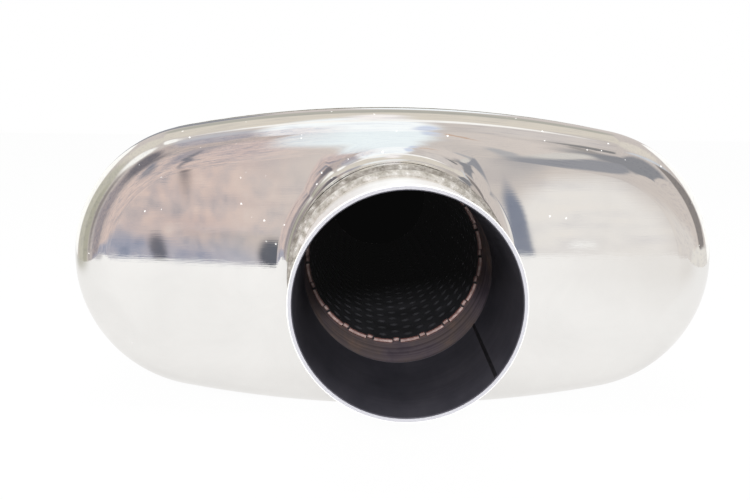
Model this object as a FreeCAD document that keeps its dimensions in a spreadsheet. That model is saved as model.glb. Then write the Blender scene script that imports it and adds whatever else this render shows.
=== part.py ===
# Center muffler: an oval stainless case with one straight perforated core,
# and a neck at each end for the exhaust pipe to slip into.
#
# Frame: millimetres, +Z up, the pipe axis along Y with the inlet neck towards -Y,
# the origin under the middle of the case at the height of what it rests on.
import FreeCAD, Part
import math
import os
import Sketcher

Vector = FreeCAD.Vector

doc = FreeCAD.newDocument("center_muffler")

# Driving dimensions, each with what it measures
DRIVING = [
    ("case_half_width", 117.0, "axis to the side of the end caps"),
    ("case_half_height", 55.2, "axis to the top of the end caps"),
    ("case_end_radius", 48.7, "round ends of the oval"),
    ("case_length", 356.0, "face of one end cap to face of the other"),
    ("shell_wall", 1.2, "wrapped shell sheet"),
    ("shell_lap", 7.0, "shell under the skirt of each cap"),
    ("lap_clearance", 0.1, "between the shell and the skirt"),
    ("seam_gap", 1.0, "between the two edges of the wrapped sheet"),
    ("seam_proud", 0.3, "crown of the shell seam above the sheet"),
    ("cap_wall", 1.5, "pressed end cap sheet"),
    ("cap_depth", 24.0, "cap face to cap rim"),
    ("shoulder_radius", 16.0, "outside bend from the cap face to its skirt"),
    ("collar_height", 24.0, "cap face to the lip of the drawn collar"),
    ("collar_bend", 10.0, "outside bend from the cap face to its collar"),
    ("neck_bore", 31.9, "radius inside each neck"),
    ("neck_wall", 1.5, "neck tube wall"),
    ("neck_length", 56.0, "neck tube from its mouth to its inner end"),
    ("neck_reach", 68.0, "cap face to the neck's mouth"),
    ("mouth_chamfer", 0.3, "deburred edges of each mouth"),
    ("slip_clearance", 0.1, "between tubes that slide into one another"),
    ("sleeve_wall", 1.5, "sleeve tube wall"),
    ("sleeve_lip", 5.0, "sleeve in front of the collar's lip"),
    ("sleeve_depth", 36.0, "cap face to the sleeve's inner end"),
    ("core_wall", 1.5, "perforated core sheet"),
    ("core_setback", 20.0, "cap face to the end of the core"),
    ("hole_radius", 1.75, "holes of the core"),
    ("first_row", 0.8, "core end to the centres of the row it is cut through"),
    ("holes_round", 20, "holes in each row round the core"),
    ("row_pairs", 3, "pairs of staggered rows along the core"),
    ("wool_wall", 6.0, "steel wool wound round the core"),
    ("packing_clearance", 0.5, "between the packing and the case"),
    ("neck_weld_leg", 2.0, "bead that joins a neck to its sleeve"),
    ("collar_weld_leg", 1.8, "bead that joins a sleeve to its collar"),
    ("core_weld_leg", 2.0, "bead that joins the core to the inlet sleeve"),
    ("rim_weld_width", 2.4, "bead along the rim of each cap"),
    ("rim_weld_proud", 0.4, "that bead outside the skirt"),
    ("rim_weld_toe", 1.5, "that bead's rounded side towards the shell"),
]

# Sizes that follow from the driving ones
DERIVED = [
    ("end_centre", "=case_half_width - case_end_radius"),
    ("crown_radius", "=(end_centre * end_centre + case_half_height * case_half_height"
                     " - case_end_radius * case_end_radius)"
                     " / (2 * (case_half_height - case_end_radius))"),
    ("tangent_slope", "=(crown_radius - case_half_height) / (crown_radius - case_end_radius)"),
    ("axis_height", "=case_half_height + rim_weld_proud"),
    ("half_case", "=case_length / 2"),
    ("rim_station", "=half_case - cap_depth"),
    ("mouth_station", "=half_case + neck_reach"),
    ("neck_inner_station", "=mouth_station - neck_length"),
    ("collar_lip_station", "=half_case + collar_height"),
    ("sleeve_lip_station", "=collar_lip_station + sleeve_lip"),
    ("sleeve_inner_station", "=half_case - sleeve_depth"),
    ("core_station", "=half_case - core_setback"),
    ("neck_outer", "=neck_bore + neck_wall"),
    ("sleeve_bore", "=neck_outer + slip_clearance"),
    ("sleeve_outer", "=sleeve_bore + sleeve_wall"),
    ("collar_bore", "=sleeve_outer + slip_clearance"),
    ("collar_outer", "=collar_bore + cap_wall"),
    ("core_outer", "=sleeve_bore - slip_clearance"),
    ("core_bore", "=core_outer - core_wall"),
    ("row_pitch", "=core_station / row_pairs"),
    ("hole_step", "=360 / holes_round"),
    ("wool_bore", "=core_outer + slip_clearance"),
    ("wool_outer", "=wool_bore + wool_wall"),
    ("wool_station", "=sleeve_inner_station - core_weld_leg - slip_clearance"),
    ("shell_inset", "=cap_wall + lap_clearance"),
    ("shell_station", "=rim_station + shell_lap"),
    ("packing_inset", "=shell_inset + shell_wall + packing_clearance"),
    ("packing_station", "=half_case - cap_wall - packing_clearance"),
]

sheet = doc.addObject("Spreadsheet::Sheet", "Sizes")
for row, (alias, number, meaning) in enumerate(DRIVING, start=1):
    sheet.set("A%d" % row, meaning)
    sheet.set("B%d" % row, str(number))
    sheet.setAlias("B%d" % row, alias)
for row, (alias, formula) in enumerate(DERIVED, start=len(DRIVING) + 1):
    sheet.set("B%d" % row, formula)
    sheet.setAlias("B%d" % row, alias)
doc.recompute()

# How far a cutting tool runs past each face that it goes through, in millimetres
OVERRUN = 1.0

PIECES = []


def new_body(label, turned=False):
    """Start a piece on the pipe axis; a turned one is the outlet's twin of an inlet piece."""
    body = doc.addObject("PartDesign::Body", label)
    body.Label = label
    if turned:
        body.Placement = FreeCAD.Placement(Vector(0, 0, 0), FreeCAD.Rotation(Vector(0, 0, 1), 180))
    body.setExpression("Placement.Base.z", "Sizes.axis_height")
    PIECES.append(body)
    return body


def origin_item(body, role):
    """One of the body's own planes or axes."""
    return next(item for item in body.Origin.OriginFeatures if item.Role == role)


def new_sketch(body, name, role="XZ_Plane", station=None):
    """A sketch across the pipe axis, set forward to a station, or on another plane."""
    sketch = body.newObject("Sketcher::SketchObject", name)
    sketch.AttachmentSupport = [(origin_item(body, role), "")]
    sketch.MapMode = "FlatFace"
    if station:
        sketch.setExpression("AttachmentOffset.Base.z", station)
    return sketch


def bind(sketch, constraint, expression):
    """Add a constraint whose value follows an expression."""
    index = sketch.addConstraint(constraint)
    sketch.setExpression("Constraints[%d]" % index, expression)


def add_circle(sketch, radius):
    """A circle about the pipe axis."""
    start = float(sketch.evalExpression(radius))
    circle = sketch.addGeometry(Part.Circle(Vector(), Vector(0, 0, 1), start))
    sketch.addConstraint(Sketcher.Constraint("Coincident", circle, 3, -1, 1))
    bind(sketch, Sketcher.Constraint("Radius", circle, start), radius)


def add_oval(sketch, inset):
    """The case's oval, set in by a distance: two crowns and two round ends, all tangent."""
    reach = float(sketch.evalExpression("Sizes.end_centre"))
    end_radius = float(sketch.evalExpression("Sizes.case_end_radius - (%s)" % inset))
    crown_radius = float(sketch.evalExpression("Sizes.crown_radius - (%s)" % inset))
    sink = float(sketch.evalExpression("Sizes.crown_radius - Sizes.case_half_height"))
    slope = float(sketch.evalExpression("Sizes.tangent_slope"))
    sweep = math.acos(slope)
    quarter = math.pi / 2

    def arc(centre_x, centre_y, radius, middle, half):
        circle = Part.Circle(Vector(centre_x, centre_y, 0), Vector(0, 0, 1), radius)
        return sketch.addGeometry(Part.ArcOfCircle(circle, middle - half, middle + half))

    right = arc(reach, 0, end_radius, 0, quarter - sweep)
    top = arc(0, -sink, crown_radius, quarter, sweep)
    left = arc(-reach, 0, end_radius, 2 * quarter, quarter - sweep)
    bottom = arc(0, sink, crown_radius, 3 * quarter, sweep)

    tangent = "(Sizes.case_end_radius - (%s)) * Sizes.tangent_slope" % inset
    height = float(sketch.evalExpression(tangent))
    bind(sketch, Sketcher.Constraint("DistanceX", -1, 1, right, 3, reach), "Sizes.end_centre")
    bind(sketch, Sketcher.Constraint("DistanceX", left, 3, -1, 1, reach), "Sizes.end_centre")
    for end, upper, lower in ((right, 2, 1), (left, 1, 2)):
        sketch.addConstraint(Sketcher.Constraint("PointOnObject", end, 3, -1))
        bind(sketch, Sketcher.Constraint("Radius", end, end_radius),
             "Sizes.case_end_radius - (%s)" % inset)
        bind(sketch, Sketcher.Constraint("DistanceY", -1, 1, end, upper, height), tangent)
        bind(sketch, Sketcher.Constraint("DistanceY", end, lower, -1, 1, height), tangent)
    for crown in (top, bottom):
        bind(sketch, Sketcher.Constraint("Radius", crown, crown_radius),
             "Sizes.crown_radius - (%s)" % inset)
    for first, second in ((right, top), (top, left), (left, bottom), (bottom, right)):
        sketch.addConstraint(Sketcher.Constraint("Coincident", first, 2, second, 1))


def add_rectangle(sketch, left, right, low, high):
    """A rectangle between four bound coordinates."""
    x0, x1, y0, y1 = [float(sketch.evalExpression(edge)) for edge in (left, right, low, high)]
    corners = [Vector(x0, y0, 0), Vector(x1, y0, 0), Vector(x1, y1, 0), Vector(x0, y1, 0)]
    sides = [sketch.addGeometry(Part.LineSegment(corners[i], corners[(i + 1) % 4])) for i in range(4)]
    for i in range(4):
        sketch.addConstraint(Sketcher.Constraint("Coincident", sides[i], 2, sides[(i + 1) % 4], 1))
    for i in (0, 2):
        sketch.addConstraint(Sketcher.Constraint("Horizontal", sides[i]))
        sketch.addConstraint(Sketcher.Constraint("Vertical", sides[i + 1]))
    bind(sketch, Sketcher.Constraint("DistanceX", -1, 1, sides[0], 1, x0), left)
    bind(sketch, Sketcher.Constraint("DistanceX", -1, 1, sides[0], 2, x1), right)
    bind(sketch, Sketcher.Constraint("DistanceY", -1, 1, sides[0], 1, y0), low)
    bind(sketch, Sketcher.Constraint("DistanceY", -1, 1, sides[2], 1, y1), high)


def pad(body, name, sketch, length, midplane=False):
    """Extrude a sketch towards the inlet, or both ways from its plane."""
    feature = body.newObject("PartDesign::Pad", name)
    feature.Profile = sketch
    feature.setExpression("Length", length)
    feature.Midplane = midplane
    return feature


def pocket(body, name, sketch, length, midplane=False):
    """Cut a sketch out towards the inlet, or both ways from its plane."""
    feature = body.newObject("PartDesign::Pocket", name)
    feature.Profile = sketch
    feature.setExpression("Length", length)
    feature.Midplane = midplane
    feature.Reversed = True
    return feature


def round_edges(body, name, base, radius, chosen):
    """Fillet the edges of a feature that a test chooses."""
    doc.recompute()
    names = ["Edge%d" % (i + 1) for i, edge in enumerate(base.Shape.Edges) if chosen(edge)]
    feature = body.newObject("PartDesign::Fillet", name)
    feature.Base = (base, names)
    feature.setExpression("Radius", radius)
    return feature


def lies_at(edge, station):
    """Whether an edge lies in the plane across the axis at a station towards the inlet."""
    box = edge.BoundBox
    return abs(box.YMin + station) < 0.01 and abs(box.YMax + station) < 0.01


def spans(edge, radius):
    """Whether an edge is an arc of this radius."""
    return hasattr(edge.Curve, "Radius") and abs(edge.Curve.Radius - radius) < 0.01


def size(alias):
    """The number in a cell."""
    return float(sheet.get(alias))


def make_tube(label, bore, outer, station, length, turned=False):
    """A plain tube on the pipe axis from a station towards the mouth."""
    body = new_body(label, turned)
    section = new_sketch(body, label + "_section", station=station)
    add_circle(section, outer)
    add_circle(section, bore)
    pad(body, label + "_pad", section, length)
    return body


def make_bead(label, corner_station, corner_radius, leg, turned=False, towards_inlet=True):
    """A welded bead round the axis: a quarter disc in the corner of a tube and a lip."""
    body = new_body(label, turned)
    section = new_sketch(body, label + "_section", "YZ_Plane")
    station = float(section.evalExpression(corner_station))
    radius = float(section.evalExpression(corner_radius))
    reach = float(section.evalExpression(leg))
    side = -1 if towards_inlet else 1
    corner = Vector(-station, radius, 0)
    along = corner + Vector(side * reach, 0, 0)
    above = corner + Vector(0, reach, 0)
    quarter = math.pi / 2
    start = quarter if towards_inlet else 0
    arc = Part.ArcOfCircle(Part.Circle(corner, Vector(0, 0, 1), reach), start, start + quarter)
    seat = section.addGeometry(Part.LineSegment(corner, along))
    lip = section.addGeometry(Part.LineSegment(corner, above))
    crown = section.addGeometry(arc)
    low_end, high_end = (2, 1) if towards_inlet else (1, 2)
    section.addConstraint(Sketcher.Constraint("Coincident", seat, 1, lip, 1))
    section.addConstraint(Sketcher.Constraint("Coincident", seat, 2, crown, low_end))
    section.addConstraint(Sketcher.Constraint("Coincident", lip, 2, crown, high_end))
    section.addConstraint(Sketcher.Constraint("Coincident", seat, 1, crown, 3))
    section.addConstraint(Sketcher.Constraint("Horizontal", seat))
    section.addConstraint(Sketcher.Constraint("Vertical", lip))
    bind(section, Sketcher.Constraint("DistanceX", seat, 1, -1, 1, station), corner_station)
    bind(section, Sketcher.Constraint("DistanceY", -1, 1, seat, 1, radius), corner_radius)
    bind(section, Sketcher.Constraint("Radius", crown, reach), leg)
    bead = body.newObject("PartDesign::Revolution", label + "_turn")
    bead.Profile = section
    bead.ReferenceAxis = (section, ["H_Axis"])
    bead.Angle = 360
    return body


# Case: one sheet wrapped to the oval, with a gap at the bottom that its seam fills
def make_shell():
    body = new_body("body_shell")
    section = new_sketch(body, "shell_section")
    add_oval(section, "Sizes.shell_inset")
    add_oval(section, "Sizes.shell_inset + Sizes.shell_wall")
    pad(body, "shell_wrap", section, "2 * Sizes.shell_station", midplane=True)
    gap = new_sketch(body, "shell_gap")
    bottom = "-Sizes.case_half_height"
    add_rectangle(gap, "-Sizes.seam_gap / 2", "Sizes.seam_gap / 2",
                  bottom, bottom + " + 2 * Sizes.shell_inset + Sizes.shell_wall")
    pocket(body, "shell_seam_gap", gap, "2 * Sizes.shell_station", midplane=True)


def make_shell_seam():
    body = new_body("shell_seam_weld")
    outside = "-Sizes.case_half_height + Sizes.shell_inset"
    filler = new_sketch(body, "seam_filler")
    add_rectangle(filler, "-Sizes.seam_gap / 2", "Sizes.seam_gap / 2",
                  outside, outside + " + Sizes.shell_wall")
    pad(body, "seam_fill", filler, "2 * Sizes.shell_station", midplane=True)
    crown = new_sketch(body, "seam_crown")
    add_rectangle(crown, "-Sizes.seam_gap / 2", "Sizes.seam_gap / 2",
                  outside + " - Sizes.seam_proud", outside)
    pad(body, "seam_cover", crown,
        "2 * (Sizes.rim_station - Sizes.rim_weld_width - Sizes.lap_clearance)", midplane=True)


# End cap: pressed from one sheet, with a rounded shoulder and a collar drawn outwards
def make_cap(label, turned):
    body = new_body(label, turned)
    rim = new_sketch(body, label + "_rim", station="Sizes.rim_station")
    add_oval(rim, "0")
    pad(body, label + "_press", rim, "Sizes.cap_depth")
    doc.recompute()
    hollow = new_sketch(body, label + "_inside", station="Sizes.rim_station")
    add_oval(hollow, "Sizes.cap_wall")
    cavity = pocket(body, label + "_hollow", hollow, "Sizes.cap_depth - Sizes.cap_wall")
    inner = round_edges(body, label + "_inner_shoulder", cavity, "Sizes.shoulder_radius - Sizes.cap_wall",
                        lambda edge: lies_at(edge, size("half_case") - size("cap_wall")))
    round_edges(body, label + "_shoulder", inner, "Sizes.shoulder_radius",
                lambda edge: lies_at(edge, size("half_case")))
    doc.recompute()
    draw = new_sketch(body, label + "_draw", station="Sizes.half_case - Sizes.cap_wall")
    add_circle(draw, "Sizes.collar_outer")
    pad(body, label + "_collar", draw, "Sizes.collar_height + Sizes.cap_wall")
    doc.recompute()
    passage = new_sketch(body, label + "_passage", station="Sizes.rim_station")
    add_circle(passage, "Sizes.collar_bore")
    bore = pocket(body, label + "_bore", passage,
                  "Sizes.cap_depth + Sizes.collar_height + %g" % OVERRUN)
    root = round_edges(body, label + "_root", bore, "Sizes.collar_bend",
                       lambda edge: lies_at(edge, size("half_case")) and spans(edge, size("collar_outer")))
    round_edges(body, label + "_inner_root", root, "Sizes.collar_bend + Sizes.cap_wall",
                lambda edge: lies_at(edge, size("half_case") - size("cap_wall"))
                and spans(edge, size("collar_bore")))


# Bead along the rim of a cap, laid on the shell
def make_rim_weld(label, turned):
    body = new_body(label, turned)
    section = new_sketch(body, label + "_section", station="Sizes.rim_station - Sizes.rim_weld_width")
    add_oval(section, "-Sizes.rim_weld_proud")
    add_oval(section, "Sizes.shell_inset")
    ring = pad(body, label + "_pad", section, "Sizes.rim_weld_width")
    end_radius = size("case_end_radius") + size("rim_weld_proud")
    crown_radius = size("crown_radius") + size("rim_weld_proud")
    round_edges(body, label + "_toe", ring, "Sizes.rim_weld_toe",
                lambda edge: lies_at(edge, size("rim_station") - size("rim_weld_width"))
                and (spans(edge, end_radius) or spans(edge, crown_radius)))


# Neck: a length of tube that the exhaust pipe slips into
def make_neck(label, turned):
    body = make_tube(label, "Sizes.neck_bore", "Sizes.neck_outer", "Sizes.neck_inner_station",
                     "Sizes.neck_length", turned)
    tube = body.Tip
    doc.recompute()
    mouth = ["Edge%d" % (i + 1) for i, edge in enumerate(tube.Shape.Edges)
             if lies_at(edge, size("mouth_station"))]
    chamfer = body.newObject("PartDesign::Chamfer", label + "_deburr")
    chamfer.Base = (tube, mouth)
    chamfer.setExpression("Size", "Sizes.mouth_chamfer")


def add_rod(name, radius, length):
    """A cylinder that starts at the origin, its sizes bound to the sheet."""
    rod = doc.addObject("Part::Cylinder", name)
    rod.setExpression("Radius", radius)
    rod.setExpression("Height", length)
    return rod


# Core: a straight perforated tube from one sleeve to the other, cut off through a row of holes
def make_core():
    along = FreeCAD.Rotation(Vector(1, 0, 0), 90)
    outside = add_rod("core_outside", "Sizes.core_outer", "2 * Sizes.core_station")
    inside = add_rod("core_inside", "Sizes.core_bore", "2 * Sizes.core_station")
    for rod in (outside, inside):
        rod.Placement = FreeCAD.Placement(Vector(), along)
        rod.setExpression("Placement.Base.y", "Sizes.core_station")
    tube = doc.addObject("Part::Cut", "core_tube")
    tube.Base = outside
    tube.Tool = inside
    punches = doc.addObject("Part::Compound", "core_punches")
    start = "(Sizes.core_bore - %g)" % OVERRUN
    reach = "Sizes.core_wall + 2 * %g" % OVERRUN
    rods = []
    for row in range(2 * int(size("row_pairs"))):
        for hole in range(int(size("holes_round"))):
            rod = add_rod("punch_%d_%d" % (row, hole), "Sizes.hole_radius", reach)
            turn = hole + row % 2 / 2
            rod.Placement = FreeCAD.Placement(
                Vector(), FreeCAD.Rotation(Vector(0, 1, 0), turn * size("hole_step")))
            rod.setExpression("Placement.Base.x", "%s * sin(%g * Sizes.hole_step)" % (start, turn))
            rod.setExpression("Placement.Base.y",
                              "-Sizes.core_station + Sizes.first_row + %d * Sizes.row_pitch" % row)
            rod.setExpression("Placement.Base.z", "%s * cos(%g * Sizes.hole_step)" % (start, turn))
            rods.append(rod)
    punches.Links = rods
    core = doc.addObject("Part::Cut", "perforated_core")
    core.Base = tube
    core.Tool = punches
    core.Label = "perforated_core"
    core.setExpression("Placement.Base.z", "Sizes.axis_height")
    PIECES.append(core)


# Packing: a glass fibre blanket that fills the case round the core and the sleeves
def make_packing():
    body = new_body("glass_fibre_packing")
    section = new_sketch(body, "packing_section")
    add_oval(section, "Sizes.packing_inset")
    block = pad(body, "packing_block", section, "2 * Sizes.packing_station", midplane=True)
    round_edges(body, "packing_shoulders", block,
                "Sizes.shoulder_radius - Sizes.cap_wall - Sizes.packing_clearance",
                lambda edge: lies_at(edge, size("packing_station"))
                or lies_at(edge, -size("packing_station")))
    doc.recompute()
    passage = new_sketch(body, "packing_passage")
    add_circle(passage, "Sizes.sleeve_outer + Sizes.slip_clearance")
    pocket(body, "packing_bore", passage, "2 * (Sizes.packing_station + %g)" % OVERRUN,
           midplane=True)
    doc.recompute()
    chamber = new_sketch(body, "packing_chamber", "YZ_Plane")
    add_rectangle(chamber, "-Sizes.sleeve_inner_station", "Sizes.sleeve_inner_station",
                  "0", "Sizes.wool_outer + Sizes.slip_clearance")
    groove = body.newObject("PartDesign::Groove", "packing_wool_room")
    groove.Profile = chamber
    groove.ReferenceAxis = (chamber, ["H_Axis"])
    groove.Angle = 360


make_shell()
make_shell_seam()
for end, turned in (("front", False), ("rear", True)):
    make_cap(end + "_end_cap", turned)
    make_rim_weld(end + "_rim_weld", turned)
for end, turned in (("inlet", False), ("outlet", True)):
    make_neck(end + "_neck", turned)
    make_tube(end + "_sleeve", "Sizes.sleeve_bore", "Sizes.sleeve_outer", "Sizes.sleeve_inner_station",
              "Sizes.sleeve_lip_station - Sizes.sleeve_inner_station", turned)
    make_bead(end + "_neck_weld", "Sizes.sleeve_lip_station", "Sizes.neck_outer",
              "Sizes.neck_weld_leg", turned)
    make_bead(end + "_collar_weld", "Sizes.collar_lip_station", "Sizes.sleeve_outer",
              "Sizes.collar_weld_leg", turned)
make_core()
make_bead("core_weld", "Sizes.sleeve_inner_station", "Sizes.sleeve_bore", "Sizes.core_weld_leg",
          towards_inlet=False)
make_tube("steel_wool_wrap", "Sizes.wool_bore", "Sizes.wool_outer", "-Sizes.wool_station",
          "2 * Sizes.wool_station")
make_packing()
doc.recompute()

# Every object has to be sound before anything is written
for item in doc.Objects:
    if "Invalid" in item.State or "Error" in item.State:
        raise RuntimeError("%s did not compute: %s" % (item.Label, item.State))
for body in PIECES:
    if body.Shape.isNull() or not body.Shape.isValid() or len(body.Shape.Solids) != 1:
        raise RuntimeError("%s is not one sound solid" % body.Label)

os.makedirs("parts", exist_ok=True)
for body in PIECES:
    body.Shape.exportStep("parts/%s.step" % body.Label)
    print("%-22s %9.1f mm3" % (body.Label, body.Shape.Volume))
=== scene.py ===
# Center muffler: an oval case of mirror-polished stainless steel, with a round neck
# centred on each end cap and a perforated core in its packing. Metres, +Z up, the pipe
# axis along Y with the inlet neck towards -Y.
from functools import partial
from math import acos, asin, atan2, copysign, cos, hypot, pi, radians, sin, sqrt
import bmesh
import bpy
from mathutils import Matrix, Vector


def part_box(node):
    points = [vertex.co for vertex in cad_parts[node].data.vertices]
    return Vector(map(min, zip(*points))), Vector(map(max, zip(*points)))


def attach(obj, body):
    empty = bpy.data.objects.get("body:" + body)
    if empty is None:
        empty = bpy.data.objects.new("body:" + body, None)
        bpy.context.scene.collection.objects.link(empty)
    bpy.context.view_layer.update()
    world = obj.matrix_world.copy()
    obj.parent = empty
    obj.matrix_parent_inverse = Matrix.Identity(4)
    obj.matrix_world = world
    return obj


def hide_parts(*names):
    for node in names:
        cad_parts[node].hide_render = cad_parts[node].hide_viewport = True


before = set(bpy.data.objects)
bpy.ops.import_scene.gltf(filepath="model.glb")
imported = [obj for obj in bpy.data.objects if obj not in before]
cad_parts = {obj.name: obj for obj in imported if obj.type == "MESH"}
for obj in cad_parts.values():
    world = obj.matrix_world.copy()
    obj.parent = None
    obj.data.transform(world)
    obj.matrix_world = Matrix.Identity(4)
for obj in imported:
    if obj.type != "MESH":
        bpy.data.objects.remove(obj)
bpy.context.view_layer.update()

# Case shell
# One sheet of 304 stainless, mirror polished, rolled to the oval and closed by a seam
# along the bottom. Its edges slip under the skirts of the end caps.
MM = 0.001
# Faces that meet at more than this stay keen
KEEN_ANGLE = radians(35)
SHELL_LOW, SHELL_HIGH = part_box("body_shell")
SHELL_WALL = 1.2 * MM
SEAM_GAP = 1.0 * MM
AXIS_HEIGHT = (SHELL_LOW[2] + SHELL_HIGH[2]) / 2
CAP_LOW, CAP_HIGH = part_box("front_end_cap")
HALF_WIDTH = (CAP_HIGH[0] - CAP_LOW[0]) / 2
HALF_HEIGHT = (CAP_HIGH[2] - CAP_LOW[2]) / 2
END_RADIUS = 48.7 * MM
END_CENTRE = HALF_WIDTH - END_RADIUS
CROWN_RADIUS = (END_CENTRE ** 2 + HALF_HEIGHT ** 2 - END_RADIUS ** 2) / (2 * (HALF_HEIGHT - END_RADIUS))
CROWN_SINK = CROWN_RADIUS - HALF_HEIGHT
# Half the turn that each crown spans
CROWN_LEAN = acos(CROWN_SINK / (CROWN_RADIUS - END_RADIUS))


def linear(hex_colour):
    """Turn an sRGB hex colour into the linear colour that a socket takes."""
    parts = [int(hex_colour[i:i + 2], 16) / 255 for i in (1, 3, 5)]
    return tuple(p / 12.92 if p <= 0.04045 else ((p + 0.055) / 1.055) ** 2.4 for p in parts) + (1.0,)


def add_node(tree, kind, sockets=None, operation=None, stops=(), **settings):
    """Add a node with its settings; a socket gets a value, or an output or node linked to it.

    A kind that doesn't name its family is a shader node. Stops are a colour ramp's.
    """
    node = tree.nodes.new(kind if "Node" in kind else "ShaderNode" + kind)
    if operation:
        node.operation = operation
    for name, value in settings.items():
        setattr(node, name, value)
    if stops:
        elements = node.color_ramp.elements
        while len(elements) < len(stops):
            elements.new(0.5)
        for element, (position, colour) in zip(elements, stops):
            element.position = position
            element.color = linear(colour)
    for socket, value in (sockets or {}).items():
        if isinstance(value, bpy.types.Node):
            value = next(output for output in value.outputs if output.enabled)
        if isinstance(value, bpy.types.NodeSocket):
            tree.links.new(value, node.inputs[socket])
        else:
            node.inputs[socket].default_value = value
    return node


def new_material(name):
    """An empty material, its adder of nodes, and the object's own coordinates to read."""
    material = bpy.data.materials.new(name)
    material.use_nodes = True
    material.node_tree.nodes.clear()
    add = partial(add_node, material.node_tree)
    return material, add, add("TexCoord").outputs["Object"]


def surfaced(material, shader):
    """The material with its surface set."""
    add_node(material.node_tree, "OutputMaterial", {"Surface": shader})
    return material


def polished_stainless():
    """Mirror-polished 304 sheet: clear reflections, veiled by wipe marks and fine scratches."""
    material, add, place = new_material("mirror_polished_stainless")
    # Wipe marks 25 mm across veil the mirror a little
    veil = add("TexNoise", {"Vector": place, "Scale": 40.0, "Detail": 6.0, "Roughness": 0.62,
        "Distortion": 0.6})
    rough = add("MapRange", {"Value": veil, "From Min": 0.35, "From Max": 0.75, "To Min": 0.015,
        "To Max": 0.065})
    tint = add("ValToRGB", {0: veil}, stops=[(0.30, "#f0efed"), (0.70, "#ebeae8")])
    # Polishing scratches run across the case, 0.3 mm apart and 8 mm long
    grain = add("Mapping", {"Vector": place, "Scale": (120.0, 900.0, 3200.0)})
    scratch = add("TexNoise", {"Vector": grain, "Scale": 1.0, "Detail": 2.0})
    # The pressed sheet isn't quite flat: waves 60 mm long bend the reflections a little
    wave = add("TexNoise", {"Vector": place, "Scale": 17.0, "Detail": 1.0})
    slow = add("Bump", {"Height": wave, "Strength": 0.22, "Distance": 0.0005})
    bump = add("Bump", {"Height": scratch, "Strength": 0.012, "Distance": 0.0002, "Normal": slow})
    # Dried water left matt specks 0.5 mm across, in drifts 40 mm apart, on the upper half
    drops = add("TexVoronoi", {"Vector": place, "Scale": 340.0})
    drift = add("TexNoise", {"Vector": place, "Scale": 24.0, "Detail": 2.0})
    level = add("SeparateXYZ", {0: place})
    upper = add("MapRange", {"Value": level.outputs["Z"], "From Min": 0.050, "From Max": 0.060,
        "To Min": 0.5, "To Max": 0.15})
    chance = add("Math", {0: drift, 1: upper}, "SUBTRACT")
    picked = add("Math", {0: drops.outputs["Color"], 1: chance}, "LESS_THAN")
    haze = add("MapRange", {"Value": drops, "From Min": 0.08, "From Max": 0.15, "To Min": -0.7,
        "To Max": 0.0})
    polish = add("Math", {0: haze, 1: picked, 2: 1.0}, "MULTIPLY_ADD")
    return surfaced(material, add("BsdfPrincipled", {"Base Color": tint, "Metallic": polish,
        "Roughness": rough, "Normal": bump}))


POLISHED = polished_stainless()


def oval_point(angle, inset):
    """A point of the case's oval, set in by a distance, at an angle from its round ends' centres.

    The angle is that of the oval's outward normal, counted from +X towards +Z.
    """
    across, up = cos(angle), sin(angle)
    if abs(across) >= sin(CROWN_LEAN):
        centre, radius = (copysign(END_CENTRE, across), 0.0), END_RADIUS - inset
    else:
        centre, radius = (0.0, -copysign(CROWN_SINK, up)), CROWN_RADIUS - inset
    return centre[0] + radius * across, centre[1] + radius * up


def oval_angles(step):
    """Angles of the oval's normal that set its points about one step apart."""
    quarter = pi / 2
    arcs = [(quarter - CROWN_LEAN, END_RADIUS), (CROWN_LEAN, CROWN_RADIUS)] * 2
    angles = []
    for middle, (half, radius) in enumerate(arcs):
        count = max(2, round(2 * half * radius / step))
        angles += [middle * quarter - half + 2 * half * i / count for i in range(count)]
    return angles


def new_object(name, data):
    """Put a mesh, a lamp or a camera in the scene, at the origin."""
    piece = bpy.data.objects.new(name, data)
    bpy.context.scene.collection.objects.link(piece)
    return piece


def settle(piece):
    """Turn what the modifiers make into the piece's own mesh, smooth but for its keen edges."""
    graph = bpy.context.evaluated_depsgraph_get()
    mesh = bpy.data.meshes.new_from_object(piece.evaluated_get(graph))
    piece.modifiers.clear()
    piece.data = mesh
    mesh.shade_smooth()
    mesh.set_sharp_from_angle(angle=KEEN_ANGLE)


def node_tree(name, **inputs):
    """A Geometry Nodes tree, given the names of its inputs for each type of socket.

    It comes with its adder of nodes and with what its inputs give.
    """
    tree = bpy.data.node_groups.new(name, "GeometryNodeTree")
    for kind, labels in {"Geometry": "Geometry", **inputs}.items():
        for label in labels.split():
            tree.interface.new_socket(name=label, in_out="INPUT", socket_type="NodeSocket" + kind)
    tree.interface.new_socket(name="Geometry", in_out="OUTPUT", socket_type="NodeSocketGeometry")
    return tree, partial(add_node, tree), tree.nodes.new("NodeGroupInput").outputs


def closed_tree(tree, given, shape):
    """End a tree: what it made becomes real and gets its finish."""
    whole = add_node(tree, "GeometryNodeRealizeInstances", {"Geometry": shape})
    dressed = add_node(tree, "GeometryNodeSetMaterial",
        {"Geometry": whole, "Material": given["Finish"]})
    add_node(tree, "NodeGroupOutput", {"Geometry": dressed})
    return tree


def apply_tree(piece, tree, **values):
    """Run a tree on a piece with its inputs set, and settle the result."""
    modifier = piece.modifiers.new(tree.name, "NODES")
    modifier.node_group = tree
    for item in tree.interface.items_tree:
        if item.in_out == "INPUT" and item.name in values:
            modifier[item.identifier] = values[item.name]
    settle(piece)


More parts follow.
